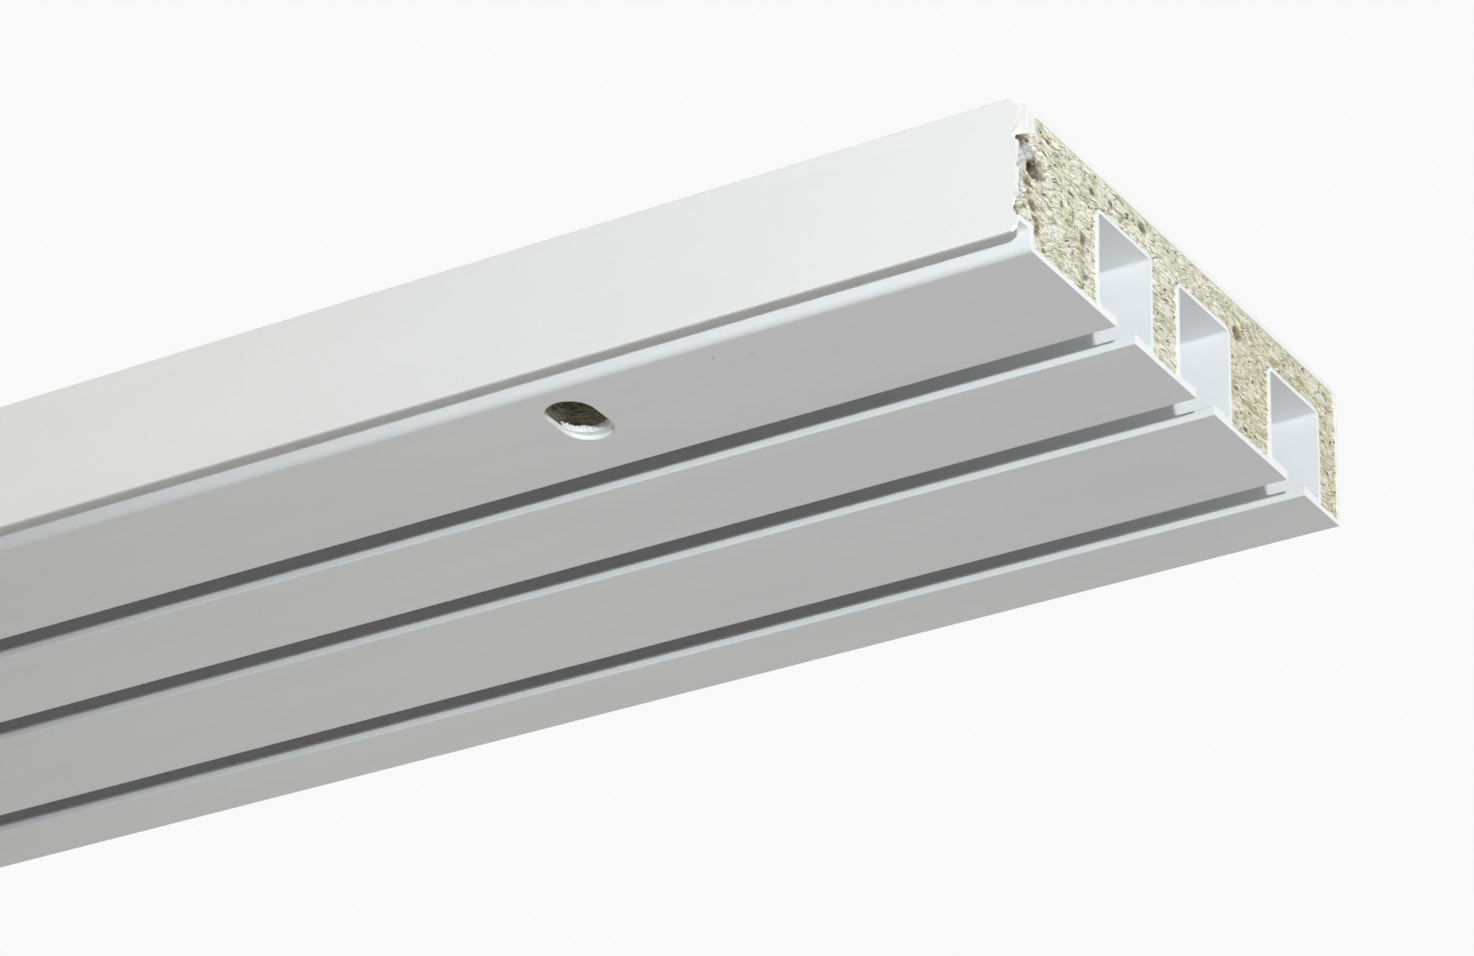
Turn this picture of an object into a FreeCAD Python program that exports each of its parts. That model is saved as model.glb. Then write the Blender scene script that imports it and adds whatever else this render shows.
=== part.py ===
import FreeCAD, Part
import math
import os

from FreeCAD import Vector

# Ceiling curtain track with three running channels, in millimetres.
# Row frame: origin at the centre of the ceiling face, +X along the track, +Y from front to back, +Z up.
# Section sizes are laid out from the front wall (y = 0) and from the underside (z = 0).

# Overall length and the widths across the underside, from front to back
LENGTH = 1200.0
FRONT_RIB = 18.5
FIRST_MIDDLE_RIB = 8.2
SECOND_MIDDLE_RIB = 12.4
BACK_RIB = 6.4

# Running channels and their slots
CHANNEL_WIDTH = 14.0
CHANNEL_HEIGHT = 15.0
SLOT_WIDTH = 5.0
LINING = 0.6
LINING_CORNER = 0.5
LIP = 1.2
LIP_TIP = 1.5
LIP_EDGE = 0.2
LIP_ROOT = 1.2

# Underside sheet and the low front wall of the running profile
SHEET = 0.8
SHEET_BACK_CORNER = 0.4
FRONT_WALL = 1.1
FRONT_CORNER = 1.0
GAP_HEIGHT = 3.0
GAP_CORNER = 0.6
FLANGE = 0.9

# Front fascia strip with its top hook
FRONT_GAP = 2.4
FASCIA = 1.0
FASCIA_TIP = 0.5
FASCIA_LIFT = 1.2
FASCIA_STEP = 0.3
FASCIA_TOP_EDGE = 0.4
FASCIA_LOWER_EDGE = 0.18
HOOK_REACH = 4.45
HOOK_FRONT_DROP = 5.5
HOOK_BACK_DROP = 3.1

# Core above the channels and the covering on its top and back
WEB = 5.0
COVERING = 0.9
BACK_COVERING = 0.4
COVERING_CORNER = 1.8

# Screw holes through the front rib: an oval mouth in the sheet, then a round bore for the head
HOLE_COUNT = 4
HOLE_FROM_END = 75.0
MOUTH_WIDTH = 7.4
MOUTH_LENGTH = 11.4
HEAD_BORE = 9.5
SHANK_HOLE = 5.0
SCREW_SEAT = 8.0

# Places that follow from the sizes above
RIBS = (FRONT_RIB, FIRST_MIDDLE_RIB, SECOND_MIDDLE_RIB, BACK_RIB)
CHANNEL_COUNT = len(RIBS) - 1
DEPTH = sum(RIBS) + CHANNEL_COUNT * CHANNEL_WIDTH
HEIGHT = CHANNEL_HEIGHT + LINING + WEB + COVERING
LINING_TOP = CHANNEL_HEIGHT + LINING
FLANGE_TOP = GAP_HEIGHT + FLANGE
FASCIA_BACK = -FRONT_GAP
FASCIA_FRONT = FASCIA_BACK - FASCIA
HOOK_BACK = FASCIA_BACK + HOOK_REACH
CORE_TOP = HEIGHT - COVERING
CORE_BACK = DEPTH - BACK_COVERING
CHANNEL_FRONTS = [sum(RIBS[:i + 1]) + i * CHANNEL_WIDTH for i in range(CHANNEL_COUNT)]
HOLE_LINE = (FRONT_WALL + FRONT_RIB - LINING) / 2
HOLE_PITCH = (LENGTH - 2 * HOLE_FROM_END) / (HOLE_COUNT - 1)


def outline(corners):
    """Closed wire across the track through (y, z, radius) corners, with tangent arcs at round ones."""
    runs = []
    for i, (y, z, radius) in enumerate(corners):
        here = Vector(0, y, z)
        before = Vector(0, *corners[i - 1][:2])
        after = Vector(0, *corners[(i + 1) % len(corners)][:2])
        back = (before - here).normalize()
        ahead = (after - here).normalize()
        half_turn = back.getAngle(ahead) / 2
        reach = radius / math.tan(half_turn)
        bulge = radius / math.sin(half_turn) - radius
        inward = (back + ahead).normalize()
        runs.append((here + back * reach, here + inward * bulge, here + ahead * reach, radius))
    edges = []
    for i, (start, middle, end, radius) in enumerate(runs):
        if radius:
            edges.append(Part.Arc(start, middle, end).toShape())
        edges.append(Part.LineSegment(end, runs[(i + 1) % len(runs)][0]).toShape())
    return Part.Wire(edges)


def bar(corners):
    """Straight length of track with the given section."""
    return Part.Face(outline(corners)).extrude(Vector(LENGTH, 0, 0))


def hole_places():
    """Distances of the screw holes from the track's left end."""
    return [HOLE_FROM_END + i * HOLE_PITCH for i in range(HOLE_COUNT)]


def drill(diameter, low, high):
    """One upright cylinder at each screw hole, from height low to height high."""
    return [
        Part.makeCylinder(diameter / 2, high - low, Vector(x, HOLE_LINE, low))
        for x in hole_places()
    ]


def mouths():
    """One round-ended hole through the sheet at each screw hole, long across the track."""
    holes = []
    radius = MOUTH_WIDTH / 2
    half_straight = MOUTH_LENGTH / 2 - radius
    for x in hole_places():
        front = Vector(x, HOLE_LINE - half_straight, 0)
        back = Vector(x, HOLE_LINE + half_straight, 0)
        ends = [Part.makeCylinder(radius, SHEET, place) for place in (front, back)]
        middle = Part.makeBox(MOUTH_WIDTH, 2 * half_straight, SHEET, front - Vector(radius, 0, 0))
        holes.append(middle.fuse(ends).removeSplitter())
    return holes


def channel_inside(front):
    """Corners of one channel, from the slot's front lip round to its back lip."""
    back = front + CHANNEL_WIDTH
    slot_front = front + (CHANNEL_WIDTH - SLOT_WIDTH) / 2
    slot_back = slot_front + SLOT_WIDTH
    return [
        (slot_front, 0, LIP_EDGE),
        (slot_front, LIP_TIP, LIP_EDGE),
        (front, LIP, LIP_ROOT),
        (front, CHANNEL_HEIGHT, LINING_CORNER),
        (back, CHANNEL_HEIGHT, LINING_CORNER),
        (back, LIP, LIP_ROOT),
        (slot_back, LIP_TIP, LIP_EDGE),
        (slot_back, 0, LIP_EDGE),
    ]


def channel_outside(front, corner):
    """Corners of one lining's outer side, or of the groove that takes it, from front to back."""
    back = front + CHANNEL_WIDTH
    return [
        (front - LINING, SHEET, 0),
        (front - LINING, LINING_TOP, corner),
        (back + LINING, LINING_TOP, corner),
        (back + LINING, SHEET, 0),
    ]


def running_profile():
    """Underside sheet, channel linings, lips, low front wall and flange as one extrusion."""
    corners = [
        (FASCIA_BACK, GAP_HEIGHT, 0),
        (0, GAP_HEIGHT, GAP_CORNER),
        (0, 0, FRONT_CORNER),
    ]
    for front in CHANNEL_FRONTS:
        corners += channel_inside(front)
    corners += [
        (DEPTH, 0, SHEET_BACK_CORNER),
        (DEPTH, SHEET, 0),
    ]
    for front in reversed(CHANNEL_FRONTS):
        corners += reversed(channel_outside(front, LINING_CORNER + LINING))
    corners += [
        (FRONT_WALL, SHEET, 0),
        (FRONT_WALL, FLANGE_TOP, 0),
        (FASCIA_BACK, FLANGE_TOP, 0),
    ]
    return bar(corners).cut(mouths())


def chipboard_core():
    """Grooved board with its front tongue, upper rebate and stepped screw holes."""
    corners = [(FRONT_WALL, SHEET, 0)]
    for front in CHANNEL_FRONTS:
        corners += channel_outside(front, 0)
    corners += [
        (CORE_BACK, SHEET, 0),
        (CORE_BACK, CORE_TOP, COVERING_CORNER - COVERING),
        (HOOK_BACK, CORE_TOP, 0),
        (HOOK_BACK, HEIGHT - HOOK_BACK_DROP, 0),
        (FASCIA_BACK, HEIGHT - HOOK_FRONT_DROP, 0),
        (FASCIA_BACK, FLANGE_TOP, 0),
        (FRONT_WALL, FLANGE_TOP, 0),
    ]
    holes = drill(HEAD_BORE, SHEET, HEIGHT - SCREW_SEAT) + drill(SHANK_HOLE, SHEET, CORE_TOP)
    return bar(corners).cut(holes)


def top_covering():
    """Thin covering over the core's top and back, drilled for the screws."""
    corners = [
        (HOOK_BACK, CORE_TOP, 0),
        (CORE_BACK, CORE_TOP, COVERING_CORNER - COVERING),
        (CORE_BACK, SHEET, 0),
        (DEPTH, SHEET, 0),
        (DEPTH, HEIGHT, COVERING_CORNER),
        (HOOK_BACK, HEIGHT, 0),
    ]
    return bar(corners).cut(drill(SHANK_HOLE, CORE_TOP, HEIGHT))


def front_fascia():
    """Front strip whose top hook fills the core's upper rebate, thinning to its free lower edge."""
    corners = [
        (FASCIA_FRONT, FASCIA_LIFT, FASCIA_LOWER_EDGE),
        (FASCIA_FRONT, HEIGHT - FASCIA_STEP, FASCIA_TOP_EDGE),
        (HOOK_BACK, HEIGHT, 0),
        (HOOK_BACK, HEIGHT - HOOK_BACK_DROP, 0),
        (FASCIA_BACK, HEIGHT - HOOK_FRONT_DROP, 0),
        (FASCIA_BACK, GAP_HEIGHT, 0),
        (FASCIA_FRONT + FASCIA_TIP, FASCIA_LIFT, FASCIA_LOWER_EDGE),
    ]
    return bar(corners)


def main():
    os.makedirs("parts", exist_ok=True)
    to_row_frame = Vector(-LENGTH / 2, -DEPTH / 2, -HEIGHT)
    for piece in (running_profile, chipboard_core, top_covering, front_fascia):
        solid = piece().translated(to_row_frame)
        solid.exportStep(f"parts/{piece.__name__}.step")
        print(piece.__name__, round(solid.Volume), "cubic mm, valid:", solid.isValid())


main()
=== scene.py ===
# %% [markdown]
# # A ceiling curtain track
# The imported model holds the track's four real pieces: a chipboard core, a white running profile with
# three slotted channels, a front fascia and a thin covering. This lesson gives them their finishes,
# roughens what a saw and a drill have torn, and lights them. Lengths are in metres in the CAD's own
# frame: +X along the track, +Y from front to back and +Z up to the ceiling.

import math

import bmesh
import bpy
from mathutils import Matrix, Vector


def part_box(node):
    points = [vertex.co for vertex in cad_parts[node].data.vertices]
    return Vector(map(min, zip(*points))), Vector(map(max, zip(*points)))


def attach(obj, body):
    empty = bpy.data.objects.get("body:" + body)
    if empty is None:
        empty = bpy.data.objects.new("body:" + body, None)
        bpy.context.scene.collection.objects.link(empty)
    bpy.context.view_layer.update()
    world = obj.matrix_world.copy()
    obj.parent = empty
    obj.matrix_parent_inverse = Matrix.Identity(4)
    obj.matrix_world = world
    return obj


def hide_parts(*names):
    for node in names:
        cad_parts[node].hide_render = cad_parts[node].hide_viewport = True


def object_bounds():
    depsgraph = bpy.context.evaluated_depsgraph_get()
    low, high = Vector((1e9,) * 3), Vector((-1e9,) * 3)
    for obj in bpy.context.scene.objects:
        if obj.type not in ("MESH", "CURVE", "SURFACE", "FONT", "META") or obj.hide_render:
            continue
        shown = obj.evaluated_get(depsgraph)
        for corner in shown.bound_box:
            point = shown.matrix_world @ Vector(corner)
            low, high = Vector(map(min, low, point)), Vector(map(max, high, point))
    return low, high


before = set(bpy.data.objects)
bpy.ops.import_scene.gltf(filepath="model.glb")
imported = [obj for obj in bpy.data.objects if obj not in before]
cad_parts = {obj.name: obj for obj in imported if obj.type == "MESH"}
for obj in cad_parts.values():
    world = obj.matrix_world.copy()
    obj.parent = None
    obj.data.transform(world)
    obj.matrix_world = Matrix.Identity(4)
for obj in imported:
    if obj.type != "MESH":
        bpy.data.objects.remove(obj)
cad_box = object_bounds()
MM = 0.001
END = cad_box[1].x
print("nodes:", ", ".join(sorted(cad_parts)))
print("CAD box:", [[round(v, 4) for v in corner] for corner in cad_box])

# %% [markdown]
# ## Camera
# The picture looks up at the track's right end from the front and from below, through a long lens that
# keeps the long edges nearly parallel. The place and the turn were solved from the straight edges and the
# corners of the track in the photograph, so the camera needs no shift.

# %% Camera
CAMERA_PLACE = (0.897862, -0.570457, -0.378484)
CAMERA_TURN = (118.1337, -1.3805, 32.1946)
LENS = 134.69
bpy.ops.object.camera_add(location=CAMERA_PLACE, rotation=[math.radians(a) for a in CAMERA_TURN])
camera = bpy.context.object
camera.data.sensor_width = 36
camera.data.lens = LENS
camera.data.clip_start = 0.01
bpy.context.scene.camera = camera
print("camera at", CAMERA_PLACE, "with a lens of", LENS, "mm")

# %% [markdown]
# ## Shader sums as Python sums
# A finish is a small sum of noises, masks and colours. Wiring each sum by hand hides it, so one class
# wraps a socket: an operator between two wires adds a Math node, and one method adds any other node.


# %% The wire class
class Wire:
    """One socket of a node tree."""

    def __init__(self, tree, socket=None):
        self.tree = tree
        self.socket = socket

    def node(self, kind, settings=(), inputs=(), out=0):
        """Adds a node, sets it, feeds its sockets and gives one of its outputs back."""
        made = self.tree.nodes.new("ShaderNode" + kind)
        for name, value in dict(settings).items():
            if name == "stops":
                for _ in value[2:]:
                    made.color_ramp.elements.new(1)
                for stop, (place, colour) in zip(made.color_ramp.elements, value):
                    stop.position = place
                    stop.color = (*colour, 1)
            else:
                setattr(made, name, value)
        for name, value in dict(inputs).items():
            if isinstance(value, Wire):
                self.tree.links.new(value.socket, made.inputs[name])
            else:
                made.inputs[name].default_value = value
        return Wire(self.tree, made.outputs[out]) if made.outputs else None

    def math(self, operation, first, second=0.0):
        return self.node("Math", {"operation": operation}, {0: first, 1: second})

    def __add__(self, other):
        return self.math("ADD", self, other)

    def __radd__(self, other):
        return self.math("ADD", other, self)

    def __sub__(self, other):
        return self.math("SUBTRACT", self, other)

    def __rsub__(self, other):
        return self.math("SUBTRACT", other, self)

    def __mul__(self, other):
        return self.math("MULTIPLY", self, other)

    def __rmul__(self, other):
        return self.math("MULTIPLY", other, self)

    def between(self, low, high):
        """A soft step from 0 at low to 1 at high."""
        limits = {"Value": self, "From Min": low, "From Max": high}
        return self.node("MapRange", {"interpolation_type": "SMOOTHSTEP"}, limits)


print("wire class ready")

# %% [markdown]
# ## Light
# One small spot stands to the right of the camera, a little below the track. Its beam draws the sharp
# shadow edges in the channels and under the fascia, and fades along the track. A second spot in front and
# above takes over on the fascia's far part, where it can't reach the underside, and a weak third one
# lights the underside there. A large soft lamp on the right fills the sawn end, another lights the top
# and back, and a pale sky does the rest. The sky that the camera and the reflections see is nearly white,
# while the sky that lights the track is weaker.

# %% Lamps
TRACK_END = Vector((0.6, -0.04, -0.012))


def lamp(kind, name, place, aim, size, power, colour, beam=0):
    """A square lamp, or a spot with a soft-edged beam of the given degrees, turned to its aim."""
    bpy.ops.object.light_add(type=kind, location=place)
    made = bpy.context.object
    made.name = name
    made.rotation_euler = (Vector(aim) - Vector(place)).to_track_quat("-Z", "Y").to_euler()
    made.data.energy = power
    made.data.color = colour
    made.visible_camera = False
    if kind == "SPOT":
        made.data.shadow_soft_size = size / 2
        made.data.spot_size = math.radians(beam)
        made.data.spot_blend = 1.0
    else:
        made.data.size = size
    print(name, "at", [round(v, 2) for v in place], power, "W")


KEY_PLACE = TRACK_END + Vector((0.49, -0.78, -0.17))
KEY_AIM = TRACK_END + Vector((0.029, 0.079, 0))
WHITE = (1.0, 1.0, 1.0)
lamp("SPOT", "key", KEY_PLACE, KEY_AIM, 0.04, 28.9, (0.89, 0.965, 1.0), 33.5)
lamp("SPOT", "front_fill", (0.204, -1.3, 0.35), (0.141, -0.04, 0), 0.1, 30.9, WHITE, 36)
lamp("SPOT", "under_fill", (0.0, 0.8, -1.0), (0.3, 0.03, -0.02), 0.1, 5.0, WHITE, 24)
lamp("AREA", "end_fill", (2.2, 0.1, -0.32), TRACK_END, 1.0, 11.3, WHITE)
lamp("AREA", "top_and_back", (-0.1, 2.2, 1.9), (0, 0, 0), 2.0, 55.0, (1.0, 0.99, 0.97))

# %% Sky and view
SKY_SEEN = 0.95
SKY_LIGHT = 0.30
SKY_COLOUR = (1.0, 0.97, 0.918, 1)
world = bpy.data.worlds.new("studio")
world.use_nodes = True
world.node_tree.nodes.clear()
bpy.context.scene.world = world
sky = Wire(world.node_tree)
camera_ray, glossy_ray, clear_ray = [
    sky.node("LightPath", out=ray) for ray in ("Is Camera Ray", "Is Glossy Ray", "Is Transmission Ray")
]
seen = sky.math("MINIMUM", camera_ray + glossy_ray + clear_ray, 1.0)
lit = sky.node("Background", {}, {"Color": SKY_COLOUR, "Strength": SKY_LIGHT})
white = sky.node("Background", {}, {"Color": (1, 1, 1, 1), "Strength": SKY_SEEN})
sky.node("OutputWorld", {}, {"Surface": sky.node("MixShader", {}, {0: seen, 1: lit, 2: white})})
bpy.context.scene.view_settings.view_transform = "Standard"
print("sky lights at", SKY_LIGHT, "and shows at", SKY_SEEN)

# %% [markdown]
# ## Finishes
# Each finish reads Object coordinates, turned into millimetres, so that a pattern has its real scale.
# Plastic that comes out of a die carries faint lines along its length, a little dust and a slightly
# uneven sheen.


# %% Start and end of a finish
def start(name):
    """A new material, and its place on the object in millimetres."""
    made = bpy.data.materials.new(name)
    made.use_nodes = True
    made.node_tree.nodes.clear()
    wire = Wire(made.node_tree)
    metres = wire.node("TexCoord", out="Object")
    place = wire.node("VectorMath", {"operation": "SCALE"}, {0: metres, "Scale": 1 / MM})
    return made, wire, place


def stretch(wire, place, size, turn=(0, 0, 0)):
    """Coordinates that count one for each given length in millimetres."""
    scale = [1 / length for length in size]
    return wire.node("Mapping", {}, {"Vector": place, "Rotation": turn, "Scale": scale})


def noise(wire, place, detail=2.0, out=0):
    return wire.node("TexNoise", {}, {"Vector": place, "Scale": 1.0, "Detail": detail}, out)


def cells(wire, place, feature="F1", out="Distance"):
    return wire.node("TexVoronoi", {"feature": feature}, {"Vector": place, "Scale": 1.0}, out)


def tint(wire, share, first, second):
    """One colour changing into another as share goes from 0 to 1."""
    first, second = [c if isinstance(c, Wire) else (*c, 1) for c in (first, second)]
    return wire.node("Mix", {"data_type": "RGBA"}, {0: share, 6: first, 7: second}, 2)


def finish(made, wire, colour, roughness, height, depth, **fixed):
    """Ends a material in a Principled shader, with a bump whose height of 1 is depth millimetres."""
    normal = wire.node("Bump", {}, {"Height": height, "Distance": depth * MM, "Strength": 1.0})
    inputs = {"Base Color": colour, "Roughness": roughness, "Normal": normal}
    inputs.update({name.replace("_", " "): value for name, value in fixed.items()})
    wire.node("OutputMaterial", {}, {"Surface": wire.node("BsdfPrincipled", {}, inputs)})
    print(made.name, "has", len(made.node_tree.nodes), "nodes")
    return made


# %% White plastics
def plastic(name, colour, shade, line_depth, sawn_shaded):
    """Extruded satin plastic: die lines along X, cloudy sheen, specks of dust and painted shade that
    greys the sawn ends, the faces turned along X.
    """
    made, wire, place = start(name)
    lines = noise(wire, stretch(wire, place, (400, 0.35, 0.35)), 3.0)
    broad = noise(wire, stretch(wire, place, (90, 9, 9)), 2.0)
    cloud = noise(wire, stretch(wire, place, (26, 14, 14)), 3.0)
    speck_place = stretch(wire, place, (5, 5, 5))
    chance = wire.node("SeparateColor", {}, {0: cells(wire, speck_place, out="Color")}, 0)
    motes = chance.between(0.93, 0.97) * (1 - cells(wire, speck_place).between(0.03, 0.07))
    paint = tint(wire, broad.between(0.3, 0.7) * 0.6 + cloud.between(0.35, 0.7) * 0.4, colour, shade)
    paint = tint(wire, motes * 0.45, paint, (0.36, 0.34, 0.31))
    # Painted shade: faces turned along X, the sawn ends, are greyed by the given share.
    facing = wire.node("SeparateXYZ", {}, {0: wire.node("NewGeometry", out="Normal")}, 0)
    paint = tint(wire, wire.math("ABSOLUTE", facing).between(0.7, 0.95) * sawn_shaded, paint, (0.55, 0.55, 0.54))
    roughness = 0.34 + cloud * 0.14 + lines * 0.06
    return finish(made, wire, paint, roughness, lines + motes * 0.5, line_depth, IOR=1.5)


running_white = plastic("running_white", (0.853, 0.862, 0.872), (0.825, 0.834, 0.844), 0.006, 0.0)
fascia_white = plastic("fascia_white", (0.915, 0.900, 0.885), (0.895, 0.880, 0.865), 0.004, 0.2)

# %% [markdown]
# The covering is a thin printed paper foil, so it is matt, with a faint fibre and no die lines.


# %% White covering
def paper():
    made, wire, place = start("covering_white")
    fibre = noise(wire, stretch(wire, place, (3.0, 0.5, 0.5)), 4.0)
    cloud = noise(wire, stretch(wire, place, (40, 25, 25)), 2.0)
    share = cloud.between(0.3, 0.7) * 0.5 + fibre * 0.5
    paint = tint(wire, share, (0.885, 0.885, 0.875), (0.845, 0.845, 0.83))
    return finish(made, wire, paint, 0.55 + fibre * 0.2, fibre, 0.02, IOR=1.45)


covering_white = paper()

# %% [markdown]
# Chipboard is wood flakes pressed flat and glued, so on a sawn end they show as thin slivers along the
# board. Stretched Voronoi cells give every flake its own colour and height, a second, finer set lies
# between them, and a few cells turn into bark specks. Some flake edges and a share of the cells are
# darkened as painted shade in the gaps between flakes. The board is a little browner towards its back.
# Four attributes come from the torn end itself. One tells how deep a place lies, and the finish paints
# deep places darker as painted shade in pits and holes. One browns real resin stains and paints shade
# into the knot's hollow, the small losses and a slit, with a painted shadow under a flap. One paints
# cracks nearly black as painted shade. And "dust" marks where the saw has left a grey fuzz.


# %% Chipboard
def flakes(wire, place, size, turn):
    """Colour number and edge distance of flakes of one size."""
    where = stretch(wire, place, size, turn)
    number = wire.node("SeparateColor", {}, {0: cells(wire, where, out="Color")}, 0)
    return number, cells(wire, where, "DISTANCE_TO_EDGE")


def specks(wire, place, size, share):
    """Dark specks: the given share of the cells, each shrunk to a core, for bark and for painted shade in
    gaps.
    """
    where = stretch(wire, place, size)
    chance = wire.node("SeparateColor", {}, {0: cells(wire, where, out="Color")}, 1)
    return chance.between(1 - share, 1 - share + 0.01) * (1 - cells(wire, where).between(0.22, 0.42))


def board():
    made, wire, place = start("chipboard")
    sway = noise(wire, stretch(wire, place, (4.5, 4.5, 4.5)), 2.0, "Color")
    sway = wire.node("VectorMath", {"operation": "MULTIPLY_ADD"}, {0: sway, 1: (0.8, 1.0, 3.0), 2: place})
    coarse, coarse_edge = flakes(wire, sway, (3.2, 2.8, 0.5), (0.06, 0, 0))
    fine, fine_edge = flakes(wire, sway, (1.3, 1.0, 0.27), (-0.2, 0, 0))
    patch = noise(wire, stretch(wire, place, (3.0, 3.0, 1.4)), 1.0).between(0.45, 0.6)
    number = coarse * (1 - patch) + fine * patch
    edge = (coarse_edge * (1 - patch) + fine_edge * patch).between(0.0, 0.16)
    open_edge_shade = noise(wire, stretch(wire, place, (1.8, 1.8, 0.9)), 2.0).between(0.36, 0.62)
    fuzz = noise(wire, stretch(wire, place, (0.25, 0.25, 0.13)), 4.0)
    stops = [
        (0.0, (0.42, 0.37, 0.20)),
        (0.08, (0.66, 0.615, 0.41)),
        (0.25, (0.85, 0.825, 0.64)),
        (0.6, (0.935, 0.925, 0.79)),
        (1.0, (0.985, 0.98, 0.92)),
    ]
    paint = wire.node("ValToRGB", {"stops": stops}, {0: number})
    # Painted shade in the open gaps along flake edges.
    paint = tint(wire, (1 - edge) * open_edge_shade * 0.85, paint, (0.29, 0.25, 0.13))
    across = wire.node("SeparateXYZ", {}, {0: place}, 1)
    paint = tint(wire, across.between(0, 14) * 0.2, paint, (0.58, 0.46, 0.22))
    paint = tint(wire, fuzz.between(0.47, 0.33) * 0.6, paint, (0.36, 0.33, 0.20))
    # Painted shade: a share of the cells become dark gaps, also bumped lower.
    shaded_gaps = specks(wire, sway, (2.4, 1.8, 0.36), 0.09)
    paint = tint(wire, shaded_gaps * 0.75, paint, (0.27, 0.235, 0.12))
    small_bark = specks(wire, sway, (0.9, 0.9, 0.45), 0.06)
    large_bark = specks(wire, sway, (1.7, 1.5, 0.6), 0.045)
    bark = wire.math("MAXIMUM", small_bark, large_bark)
    paint = tint(wire, bark * 0.9, paint, (0.13, 0.085, 0.045))
    # Real resin stains, and painted shade in the knot's hollow, the small losses and the slit beside the
    # fascia, with a painted shadow under the flap.
    stain = wire.node("Attribute", {"attribute_name": "stain"}, (), "Fac")
    paint = tint(wire, stain * (0.55 + 0.4 * fuzz.between(0.38, 0.58)), paint, (0.17, 0.095, 0.045))
    # Painted shade: cracks are painted nearly black.
    crack = wire.node("Attribute", {"attribute_name": "crack"}, (), "Fac")
    paint = tint(wire, crack * 0.85, paint, (0.10, 0.09, 0.06))
    dust = wire.node("Attribute", {"attribute_name": "dust"}, (), "Fac")
    grey = tint(wire, fuzz.between(0.38, 0.58), (0.38, 0.39, 0.39), (0.82, 0.84, 0.84))
    paint = tint(wire, dust * 0.85, paint, grey)
    # Painted shade: deeper places, down the losses and inside the screw holes, are painted darker brown.
    pit = wire.node("Attribute", {"attribute_name": "pit"}, (), "Fac")
    paint = tint(wire, pit.between(0.5, 1.6) * 0.8, paint, (0.17, 0.115, 0.075))
    height = number * 0.5 + edge * 0.4 + fuzz * 0.5 - bark * 0.5 - shaded_gaps * 0.4
    return finish(made, wire, paint, 0.82 + fuzz * 0.12, height, 0.2, IOR=1.4)


chipboard = board()

# %% Put the finishes on the CAD nodes
FINISHES = {
    "chipboard_core": chipboard,
    "running_profile": running_white,
    "front_fascia": fascia_white,
    "top_covering": covering_white,
}
for node, finished in FINISHES.items():
    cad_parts[node].material_slots[0].material = finished
    print(node, "takes", finished.name)

# %% [markdown]
# ## Sawn ends
# A saw tears chipboard: flakes stand at different depths and the weak front edge breaks out. It also
# frays the thin fascia. A flat end would need all of that from bump, which vanishes at the outline, so
# copies of the two pieces are cut into a fine grid at their ends and the grid is pressed in. Everything
# moves inwards, so the length stays.


# %% Tools for the copies
def only(piece):
    """Selects one piece alone and makes it the active one."""
    bpy.ops.object.select_all(action="DESELECT")
    piece.select_set(True)
    bpy.context.view_layer.objects.active = piece


def pick_faces(piece, test):
    """In edit mode, selects the faces that pass the test."""
    bpy.ops.mesh.select_mode(type="FACE")
    bpy.ops.mesh.select_all(action="DESELECT")
    mesh = bmesh.from_edit_mesh(piece.data)
    for face in mesh.faces:
        if test(face):
            face.select_set(True)
    bmesh.update_edit_mesh(piece.data)


def copy_of(node, name):
    """A free copy of a CAD node with its triangles merged."""
    made = bpy.data.objects.new(name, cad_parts[node].data.copy())
    bpy.context.collection.objects.link(made)
    only(made)
    bpy.ops.mesh.customdata_custom_splitnormals_clear()
    bpy.ops.object.mode_set(mode="EDIT")
    bpy.ops.mesh.select_all(action="SELECT")
    bpy.ops.mesh.remove_doubles(threshold=1e-6)
    bpy.ops.mesh.dissolve_limited(angle_limit=math.radians(0.5))
    bpy.ops.object.mode_set(mode="OBJECT")
    print(name, "starts with", len(made.data.polygons), "faces")
    return made


# %% [markdown]
# The board needs the grid on its two end faces only. The fascia needs it on the last few millimetres all
# round, because its frayed edge shows from the front.


# %% Slice the ends into a grid
def slice_ends(piece, node, zone, grid, reach):
    """Cuts a grid into both ends, as far in as reach, and groups each end face's points."""
    only(piece)
    bpy.ops.object.mode_set(mode="EDIT")
    for side in (-1, 1):
        bpy.ops.mesh.select_all(action="SELECT")
        bpy.ops.mesh.bisect(plane_co=(side * (END - zone), 0, 0), plane_no=(1, 0, 0))
    pick_faces(piece, lambda face: abs(face.calc_center_median().x) > END - reach)
    bpy.ops.mesh.hide(unselected=True)
    low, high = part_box(node)
    for axis in (1, 2):
        for i in range(1, int((high[axis] - low[axis]) / grid)):
            across = [float(a == axis) for a in range(3)]
            plane = [(low[axis] + i * grid) * part for part in across]
            bpy.ops.mesh.select_all(action="SELECT")
            bpy.ops.mesh.bisect(plane_co=plane, plane_no=across)
    for side, group in ((1, "right_cut"), (-1, "left_cut")):
        pick_faces(piece, lambda face: face.calc_center_median().x * side > END - FLAT)
        bpy.ops.object.vertex_group_assign_new()
        piece.vertex_groups[-1].name = group
    bpy.ops.mesh.reveal(select=False)
    bpy.ops.object.mode_set(mode="OBJECT")
    print(piece.name, "is sliced into", len(piece.data.polygons), "faces")


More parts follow.
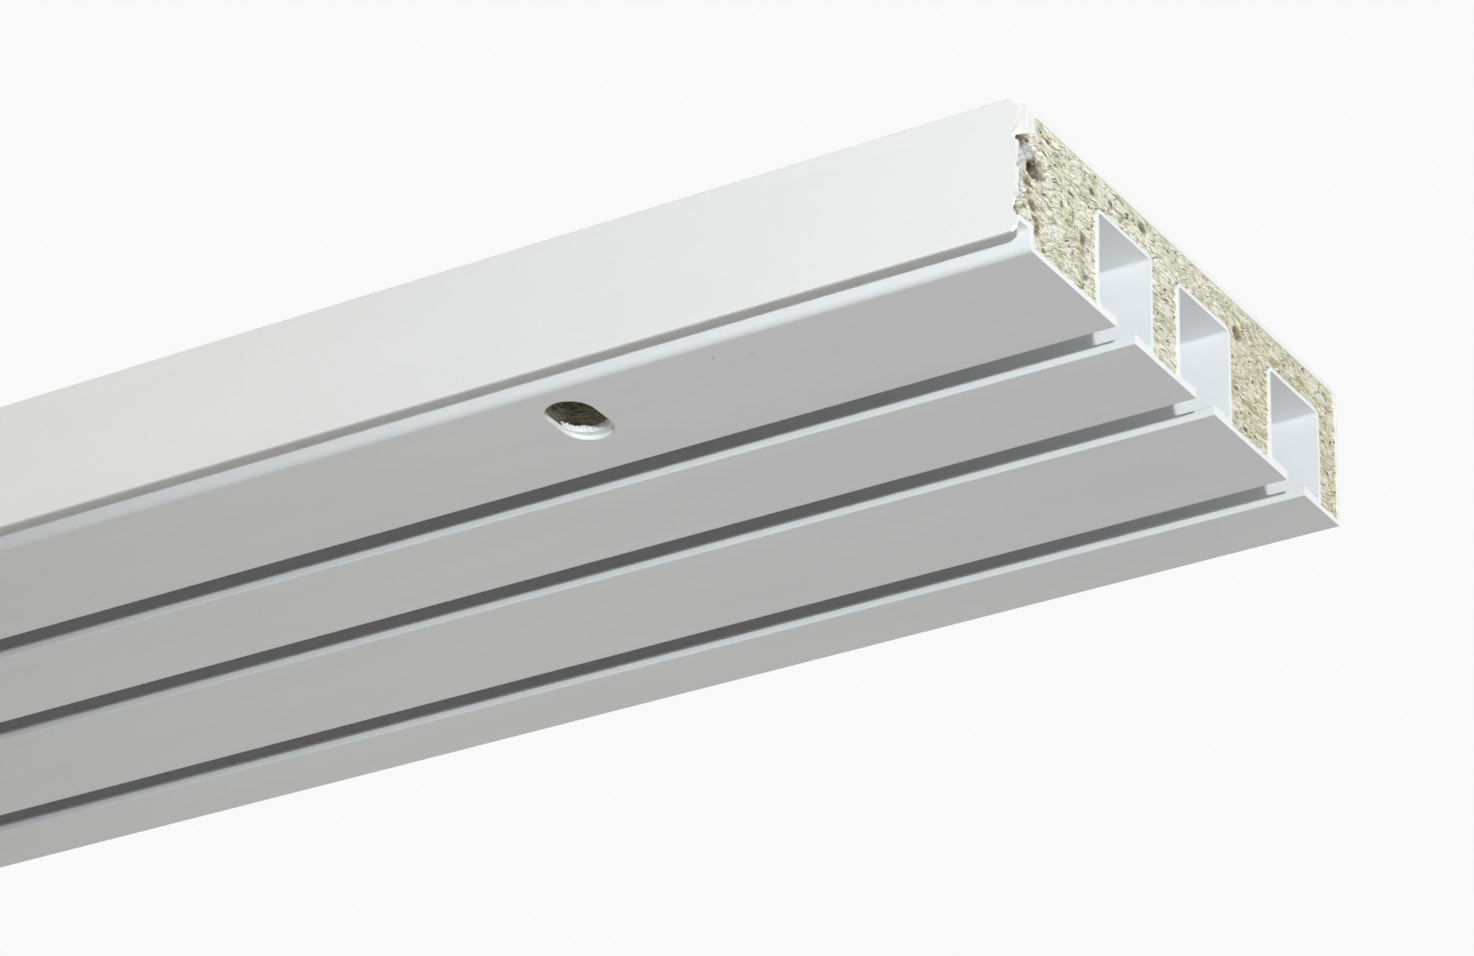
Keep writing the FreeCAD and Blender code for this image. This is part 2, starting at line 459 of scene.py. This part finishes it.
END_ZONE = 5 * MM
FRAYED = 3 * MM
FLAT = 1e-6
core = copy_of("chipboard_core", "sawn_core")
slice_ends(core, "chipboard_core", END_ZONE, 0.35 * MM, FLAT)
fascia = copy_of("front_fascia", "sawn_fascia")
slice_ends(fascia, "front_fascia", FRAYED, 0.3 * MM, 0.9 * FRAYED)

# %% [markdown]
# The right end is torn most along its front edge, beside the fascia: a notch under the fascia's hook, a
# broken out knot, slits along the fascia and small losses below. Proportional editing pulls each one in,
# as a finger would push clay. Each loss has a place across the track, a height, a radius and a depth, in
# millimetres.

# %% Losses of the board and the fascia
BOARD_LOSSES = [
    ("notch under the hook", -45.3, -5.9, 0.7, 2.0),
    ("notch under the hook", -44.5, -5.5, 0.8, 2.2),
    ("notch under the hook", -43.6, -5.0, 0.7, 1.6),
    ("notch under the hook", -44.5, -6.3, 0.6, 1.4),
    ("upper slit", -46.1, -8.3, 0.6, 1.8),
    ("upper slit", -46.1, -9.6, 0.6, 1.8),
    ("upper slit", -46.1, -10.8, 0.6, 1.8),
    ("upper slit", -46.1, -11.9, 0.5, 1.4),
    ("lower slit", -46.1, -15.8, 0.8, 1.6),
    ("lower slit", -46.0, -16.8, 0.8, 1.6),
    ("knot", -42.6, -9.0, 0.9, 1.8),
    ("knot", -41.6, -8.2, 1.0, 2.2),
    ("knot", -40.6, -7.9, 1.0, 2.0),
    ("knot", -39.6, -7.5, 0.9, 1.5),
    ("knot", -38.9, -7.2, 0.7, 0.9),
    ("under the flap", -43.9, -11.8, 0.5, 0.7),
    ("under the flap", -42.9, -11.2, 0.5, 0.7),
    ("under the flap", -41.8, -10.7, 0.5, 0.6),
    ("small loss", -43.4, -12.7, 0.6, 0.5),
    ("small loss", -42.7, -13.5, 0.6, 0.5),
    ("small loss", -42.6, -14.4, 0.6, 0.5),
    ("small loss", -41.9, -15.8, 0.6, 0.5),
    ("small loss", -41.1, -17.2, 0.6, 0.6),
    ("black spot", -39.4, -10.9, 0.5, 0.5),
    ("black spot", -39.3, -19.2, 0.6, 0.6),
    ("black spot", -28.2, -17.4, 0.6, 0.6),
    ("crack", -34.4, -9.8, 0.5, 0.5),
    ("crack", -32.7, -12.0, 0.5, 0.5),
    ("crack", -6.4, -10.0, 0.5, 0.5),
    ("crack", 13.4, -13.8, 0.5, 0.5),
    ("back spot", 14.0, -5.2, 0.7, 0.8),
]
FASCIA_LOSSES = [
    ("top corner", -47.1, -0.3, 1.0, 0.5),
    ("under the hook", -46.5, -5.8, 0.8, 0.6),
    ("upper edge", -46.4, -9.6, 0.7, 0.35),
    ("lower edge", -46.4, -15.8, 0.8, 0.5),
    ("lower edge", -46.4, -16.9, 0.8, 0.5),
    ("lower corner", -47.0, -20.3, 0.6, 0.5),
]
LOSS_ZONE = 4 * MM


def tear(piece, losses):
    """Pulls each loss into the right end of a piece."""
    only(piece)
    bpy.ops.object.mode_set(mode="EDIT")
    bpy.ops.mesh.select_mode(type="VERT")
    for name, y, z, radius, depth in losses:
        bpy.ops.mesh.select_all(action="DESELECT")
        mesh = bmesh.from_edit_mesh(piece.data)
        centre = Vector((y * MM, z * MM))
        for vert in mesh.verts:
            if vert.co.x > END - LOSS_ZONE and (vert.co.yz - centre).length < 0.5 * radius * MM:
                vert.select_set(True)
        mesh.select_flush(True)
        bmesh.update_edit_mesh(piece.data)
        bpy.ops.transform.translate(
            value=(-depth * MM, 0, 0),
            use_proportional_edit=True,
            use_proportional_connected=True,
            proportional_edit_falloff="SPHERE",
            proportional_size=radius * MM,
        )
    bpy.ops.object.mode_set(mode="OBJECT")
    print(piece.name, "has lost", len(losses), "bits")


tear(core, BOARD_LOSSES)
tear(fascia, FASCIA_LOSSES)


# %% Press the flakes and the frayed edge in
RULER_PLACE = (0.1, 0.003, 0.001)
INWARDS = -0.15


def press(piece, group, kind, size, depth, contrast=1.0):
    """Presses a stretched texture along X into one vertex group, inwards only."""
    side = -1 if group == "right_cut" else 1
    bpy.ops.object.empty_add(location=(side * RULER_PLACE[0], *RULER_PLACE[1:]))
    ruler = bpy.context.object
    ruler.scale = [length * MM for length in size]
    texture = bpy.data.textures.new(piece.name + group + kind, kind)
    texture.noise_scale = 1.0
    texture.contrast = contrast
    only(piece)
    bpy.ops.object.modifier_add(type="DISPLACE")
    push = piece.modifiers[-1]
    push.texture = texture
    push.texture_coords = "OBJECT"
    push.texture_coords_object = ruler
    push.direction = "X"
    push.vertex_group = group
    push.mid_level = INWARDS
    push.strength = side * depth * MM
    bpy.ops.object.modifier_apply(modifier=push.name)
    bpy.data.objects.remove(ruler)


for group in ("right_cut", "left_cut"):
    press(core, group, "VORONOI", (2.2, 1.9, 0.45), 0.22)
    press(core, group, "CLOUDS", (1.2, 1.2, 0.5), 0.22, 1.6)
    press(fascia, group, "CLOUDS", (1.0, 1.0, 0.8), 0.3, 1.8)
print("flakes and frayed edges pressed in at both ends")

# %% [markdown]
# The finish also needs to know where the end is stained and dusty, and where shade is painted in: in
# pits, cracks, slits and the screw holes, with a painted shadow under a flap. Each mark is an oval: its
# place, height, half width and half height in millimetres. The screw holes' walls count as deep, so that
# the finish paints them dark as shade.

# %% Mark depth, stains, cracks and dust for the finish, with painted shade in the hollows
# Painted shade: the knot, under the flap, beside the fascia and the entries named bark lie over losses
# and slits and paint their shade, under the flap as a painted shadow. The resin entries are real stains.
STAINS_AND_SHADE = [
    ("knot", -41.4, -8.3, 2.6, 1.7),
    ("under the flap", -43.0, -11.2, 1.6, 0.6),
    ("beside the fascia", -46.0, -16.4, 0.9, 1.6),
    ("bark", -43.3, -12.7, 0.7, 0.9),
    ("bark", -42.6, -13.5, 0.9, 0.6),
    ("bark", -42.4, -14.4, 1.0, 0.7),
    ("bark", -41.8, -15.8, 1.1, 0.7),
    ("bark", -41.0, -17.2, 0.7, 1.2),
    ("bark", -41.8, -18.1, 0.7, 0.6),
    ("resin", -29.2, -12.5, 0.9, 1.2),
    ("resin", -26.7, -4.0, 1.0, 0.7),
    ("resin", -12.8, -2.4, 1.4, 0.8),
    ("resin", 14.0, -5.2, 1.4, 1.3),
]
# Painted shade: each oval darkens a crack or a small hollow nearly to black.
SHADED_CRACKS = [
    ("below the notch", -44.0, -5.6, 0.9, 0.5),
    ("at the fascia", -44.5, -15.3, 0.8, 0.3),
    ("front", -39.3, -19.2, 0.9, 0.6),
    ("front", -39.3, -10.9, 0.8, 0.4),
    ("front", -38.8, -2.6, 1.0, 0.35),
    ("front", -34.3, -9.8, 0.6, 0.5),
    ("front", -32.6, -12.0, 1.0, 0.35),
    ("front", -32.2, -7.2, 0.9, 0.4),
    ("front", -31.8, -10.5, 0.4, 1.0),
    ("front", -28.1, -17.4, 0.9, 0.6),
    ("above the first channel", -21.6, -3.2, 0.6, 0.7),
    ("second rib", -6.3, -10.0, 0.8, 0.5),
    ("third rib", 13.5, -13.8, 0.8, 0.5),
    ("third rib", 16.0, -19.1, 0.8, 0.5),
]
DUST = [
    ("below the notch", -44.2, -6.6, 2.3, 1.7),
    ("beside the fascia", -45.5, -9.8, 1.2, 2.8),
    ("lower edge", -45.8, -13.8, 0.8, 1.8),
]
HOLES = (-0.525, -0.175, 0.175, 0.525)
HOLE_LINE = -34.25 * MM
BORE = 9.5 * MM
BORE_WALL = 0.51 * BORE
# Painted shade: the depth given to the screw holes' walls, so that the finish paints them dark.
BORE_SHADE_DEPTH = 1.0


def oval(spots, vert):
    """How much of the nearest oval covers a point of the right end, from 0 to 1."""
    if vert.co.x < END - END_ZONE:
        return 0.0
    across, up = vert.co.yz / MM
    reach = [math.hypot((across - y) / w, (up - z) / h) for name, y, z, w, h in spots]
    return max(0.0, min(1.0, 3 - 3 * min(reach)))


def pit(vert):
    """Depth below the sawn end in millimetres, or a fixed depth in a drilled hole, which the finish turns
    into painted shade.
    """
    if any(g.group in cuts for g in vert.groups):
        return (END - abs(vert.co.x)) / MM
    near = min(math.hypot(vert.co.x - x, vert.co.y - HOLE_LINE) for x in HOLES)
    return BORE_SHADE_DEPTH if near < BORE_WALL else 0.0


cuts = {core.vertex_groups[name].index for name in ("right_cut", "left_cut")}
marks = {
    "pit": [pit(v) for v in core.data.vertices],
    "stain": [oval(STAINS_AND_SHADE, v) for v in core.data.vertices],
    "crack": [oval(SHADED_CRACKS, v) for v in core.data.vertices],
    "dust": [oval(DUST, v) for v in core.data.vertices],
}
for name, values in marks.items():
    core.data.attributes.new(name, "FLOAT", "POINT").data.foreach_set("value", values)
print("deepest loss:", round(max(marks["pit"]), 2), "mm")

# %% Hand the copies over
for piece, node, slot, finished in (
    (core, "chipboard_core", "chipboard", chipboard),
    (fascia, "front_fascia", "fascia_plastic", fascia_white),
):
    only(piece)
    bpy.ops.object.shade_smooth_by_angle(angle=math.radians(35))
    piece.data.materials.clear()
    piece.data.materials.append(finished)
    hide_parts(node)
    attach(piece, "root")
    print(piece.name, "stands for", node)

# %% [markdown]
# ## Torn rims of the screw holes
# Punching has drawn a torn skin of plastic from the back of each oval mouth up into the bore. The back
# half of a circle is drawn out to the oval and raised along the sheet's edge. More steps fold it in below
# the board and up along the bore, each one shaken more, and a little thickness makes it a ragged lip.

# %% Torn rims
MOUTH_WIDTH = 7.4 * MM
MOUTH_LENGTH = 11.4 * MM
CLEAR = 0.05 * MM
SKIN = 0.06 * MM
BACK_HALF = 0.3 * MM
STEPS = ((0.0, 0.6, 0.0), (1.1, 0.02, 0.05), (0.15, 0.4, 0.08), (0.15, 0.35, 0.25))
UNDERSIDE = cad_box[0].z
for number, x in enumerate(HOLES):
    bpy.ops.object.select_all(action="DESELECT")
    bpy.ops.mesh.primitive_circle_add(vertices=160, radius=MOUTH_WIDTH / 2 - CLEAR)
    rim = bpy.context.object
    rim.name = f"torn_rim_{number + 1}"
    bpy.ops.object.mode_set(mode="EDIT")
    bpy.ops.mesh.select_all(action="DESELECT")
    mesh = bmesh.from_edit_mesh(rim.data)
    for vert in mesh.verts:
        vert.select_set(vert.co.y < BACK_HALF)
    mesh.select_flush(True)
    bmesh.update_edit_mesh(rim.data)
    bpy.ops.mesh.delete(type="VERT")
    bpy.ops.mesh.select_all(action="SELECT")
    back_end = HOLE_LINE + (MOUTH_LENGTH - MOUTH_WIDTH) / 2
    bpy.ops.transform.translate(value=(x, back_end, UNDERSIDE + CLEAR))
    for fold, rise, shake in STEPS:
        bpy.ops.mesh.extrude_edges_move(TRANSFORM_OT_translate={"value": (0, -fold * MM, rise * MM)})
        bpy.ops.transform.vertex_random(offset=shake * MM, seed=number + 3)
    bpy.ops.object.mode_set(mode="OBJECT")
    bpy.ops.object.modifier_add(type="SOLIDIFY")
    rim.modifiers[-1].thickness = SKIN
    rim.modifiers[-1].offset = 0
    bpy.ops.object.modifier_apply(modifier=rim.modifiers[-1].name)
    bpy.ops.object.shade_smooth_by_angle(angle=math.radians(40))
    rim.data.materials.append(running_white)
    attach(rim, "root")
    print(rim.name, "has", len(rim.data.polygons), "faces")

# %% [markdown]
# ## Floor
# A pale floor lies a room's height below the ceiling. It has one face only, so that a view from below the
# floor still sees the track.

# %% Floor
FLOOR_DROP = 2.4
FLOOR_SIZE = 40
FLOOR_GLOW = 0.6
bpy.ops.mesh.primitive_plane_add(size=FLOOR_SIZE, location=(0, 0, -FLOOR_DROP))
floor = bpy.context.object
floor.name = "floor"
bpy.ops.object.transform_apply(location=True)
floor_pale, wire, place = start("floor_pale")
grain = noise(wire, stretch(wire, place, (60, 60, 60)), 3.0)
paint = tint(wire, grain, (0.84, 0.84, 0.83), (0.80, 0.80, 0.79))
matt = wire.node("BsdfDiffuse", {}, {"Color": paint})
shown = wire.node("Emission", {}, {"Color": (1, 1, 1, 1), "Strength": SKY_SEEN})
glow = wire.node("LightPath", out="Is Camera Ray") * FLOOR_GLOW
pale = wire.node("MixShader", {}, {0: glow, 1: matt, 2: shown})
clear = wire.node("BsdfTransparent")
behind = wire.node("NewGeometry", out="Backfacing")
one_sided = wire.node("MixShader", {}, {0: behind, 1: pale, 2: clear})
wire.node("OutputMaterial", {}, {"Surface": one_sided})
floor.data.materials.append(floor_pale)
print("floor lies", FLOOR_DROP, "m below the ceiling")
